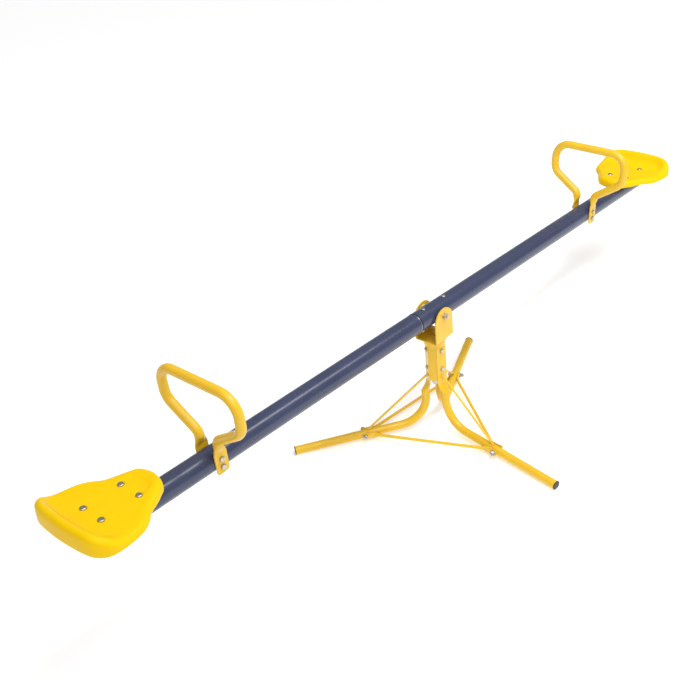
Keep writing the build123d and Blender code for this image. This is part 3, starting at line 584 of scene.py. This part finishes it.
SEAT_NUT_FOOT = 24.1
HANDLE_REACH, HANDLE_LEAN = 866.0, math.radians(4.5)
HANDLE_NUT_END = 41.3
HANDLE_BOLTS = (-11.1, 11.1)
JOINT_BOLTS = (-48.5, 48.5)
JOINT_NUT_END = -38.0
PIVOT_NUT_END = -49.0
THREAD_PAST_NUT = 4.0
M6, M8, M10 = (3.0, 1.0), (4.0, 1.25), (5.0, 1.5)   # radius and pitch


def plain_point(x, y, z):
    """A point of the stand, in millimetres from the ground's centre."""
    return Vector((x, y, z)) * MM


def turned_point(azimuth):
    turn = Matrix.Rotation(math.radians(azimuth), 3, "Z")
    return lambda x, y, z: turn @ plain_point(x, y, z)


def bead(name, route, radius, ripple, slot, body, sides=8):
    """A closed round bead along a route of row-frame points, rippled as a weld is laid."""
    count = len(route)
    length = sum((route[i] - route[i - 1]).length for i in range(count)) / MM
    waves = max(1, round(length / WELD_STEP))
    centre = sum(route, Vector()) / count
    verts, faces = [], []
    for i, point in enumerate(route):
        ahead = (route[(i + 1) % count] - route[i - 1]).normalized()
        out = (point - centre) - ahead * (point - centre).dot(ahead)
        out.normalize()
        up = ahead.cross(out)
        size = radius * MM * (1 + ripple * math.sin(2 * math.pi * waves * i / count))
        for k in range(sides):
            angle = 2 * math.pi * k / sides
            verts.append(point + (out * math.cos(angle) + up * math.sin(angle)) * size)
    for i in range(count):
        a, b = i * sides, ((i + 1) % count) * sides
        faces += [(a + k, a + (k + 1) % sides, b + (k + 1) % sides, b + k) for k in range(sides)]
    piece = mesh_object(name, verts, faces, MATERIALS[slot])
    finish_piece(piece, body)


def circle(place, centre, across, other, count):
    """Points round a circle, or an ellipse, spanned by two half-axes."""
    points = []
    for i in range(count):
        angle = 2 * math.pi * i / count
        point = Vector(centre) + Vector(across) * math.cos(angle) + Vector(other) * math.sin(angle)
        points.append(place(*point))
    return points


def cross_tube_weld(side):
    """The saddle-shaped line where the cross tube comes out of the beam."""
    points = []
    for i in range(120):
        angle = 2 * math.pi * i / 120
        x, z = CROSS_TUBE_RADIUS * math.cos(angle), CROSS_TUBE_RADIUS * math.sin(angle)
        points.append(beam_point(x, side * math.sqrt(TUBE_RADIUS ** 2 - z ** 2), z))
    return points


def make_welds():
    """The beads at the cross tube, the hub, the spindle and both ends of each strut."""
    for name, side in (("left", 1), ("right", -1)):
        route = cross_tube_weld(side)
        bead(f"cross_tube_weld_{name}", route, BEAD_CROSS_TUBE, WELD_RIPPLE, "blue_paint", "beam")
    height, radius = CORE_TOP - HUB_WELD_DROP, HUB_WELD_RADIUS
    ring = circle(plain_point, (0, 0, height), (radius, 0, 0), (0, radius, 0), 320)
    bead("hub_weld", ring, BEAD_HUB, WELD_RIPPLE, "yellow_paint", "base")
    ring = circle(plain_point, (0, 0, YOKE_FLOOR), (NECK_RADIUS, 0, 0), (0, NECK_RADIUS, 0), 140)
    bead("spindle_weld", ring, BEAD_SPINDLE, WELD_RIPPLE, "yellow_paint", "swivel_head")
    wide = STRUT_RADIUS + STRUT_WELD_GAP
    long = STRUT_CUT * wide
    for k, azimuth in enumerate(LEG_AZIMUTHS):
        place = turned_point(azimuth)
        ring = circle(place, STRUT_TOP, (0, wide, 0), (0, 0, long), 90)
        bead(f"strut_top_weld_{k + 1}", ring, BEAD_STRUT_TOP, WELD_RIPPLE, "yellow_paint", "base")
        ring = circle(place, STRUT_FOOT, (long, 0, 0), (0, wide, -STRUT_FOOT_DROP), 90)
        bead(f"strut_foot_weld_{k + 1}", ring, BEAD_STRUT_FOOT, WELD_RIPPLE, "yellow_paint", "base")


def make_joint_lips():
    """The rolled ends of the two tubes, each side of the dark ring. The dark ring is a black part put in as
    painted shade for the gap between the tube ends, and the near lip is bare zinc as a painted highlight for the
    bright rim on the near tube's end.
    """
    away = JOINT_GAP / 2 + LIP_RADIUS
    # The near lip's bare zinc is a painted highlight: its light colour stands in for the bright rim that light
    # makes on the near tube's end; the far lip keeps the blue paint.
    for name, x, slot in (("near", JOINT_X - away, "zinc"), ("far", JOINT_X + away, "blue_paint")):
        wide = TUBE_RADIUS - LIP_RADIUS / 2
        ring = circle(beam_point, (x, 0, 0), (0, wide, 0), (0, 0, wide), 120)
        bead(f"joint_lip_{name}", ring, LIP_RADIUS, 0.0, slot, "beam")


def thread(name, starts, step, size, body):
    """Thread ridges on the free end of each bolt, from its start and over the given step."""
    radius, pitch = size
    turn = Vector((0, 0, 1)).rotation_difference(step).to_matrix()
    turns = int(step.length / MM / pitch)
    profile = [(radius - THREAD_DEPTH, 0.0)]
    for k in range(turns):
        profile.append((radius + THREAD_CREST, (k + 0.5) * pitch))
        profile.append((radius - THREAD_DEPTH, (k + 1) * pitch))
    verts, faces = [], []
    for start in starts:
        place = lambda a, b, c: start + turn @ (Vector((a, b, c)) * MM)
        more, loops = turned_profile(profile, place, THREAD_SIDES)
        faces += [tuple(len(verts) + i for i in loop) for loop in loops]
        verts += more
    finish_piece(mesh_object(name, verts, faces, MATERIALS["zinc"]), body)


def make_threads():
    for end, side in (("near", -1), ("far", 1)):
        down = beam_point(0, 0, -THREAD_PAST_NUT, side) - beam_point(0, 0, 0, side)
        starts = [beam_point(x, y, SEAT_NUT_FOOT, side) for x, y in seat_spots()]
        thread(f"seat_threads_{end}", starts, down, M6, "beam")
        out = Vector((0, THREAD_PAST_NUT * MM, 0))
        starts = []
        for step in HANDLE_BOLTS:
            x = side * (HANDLE_REACH + step * math.sin(HANDLE_LEAN))
            starts.append(beam_point(x, HANDLE_NUT_END, step * math.cos(HANDLE_LEAN)))
        thread(f"handle_threads_{end}", starts, out, M8, "beam")
    down = beam_point(0, 0, -THREAD_PAST_NUT) - beam_point(0, 0, 0)
    starts = [beam_point(x, 0, JOINT_NUT_END) for x in JOINT_BOLTS]
    thread("joint_threads", starts, down, M8, "beam")
    start = PIVOT + Vector((0, PIVOT_NUT_END * MM, 0))
    thread("pivot_threads", [start], Vector((0, -THREAD_PAST_NUT * MM, 0)), M10, "swivel_head")


# ---- make everything --------------------------------------------------------------------
make_camera()
make_studio()
paint_frame()
make_seat("near", -1)
make_seat("far", 1)
make_welds()
make_joint_lips()
make_threads()

bpy.context.view_layer.update()
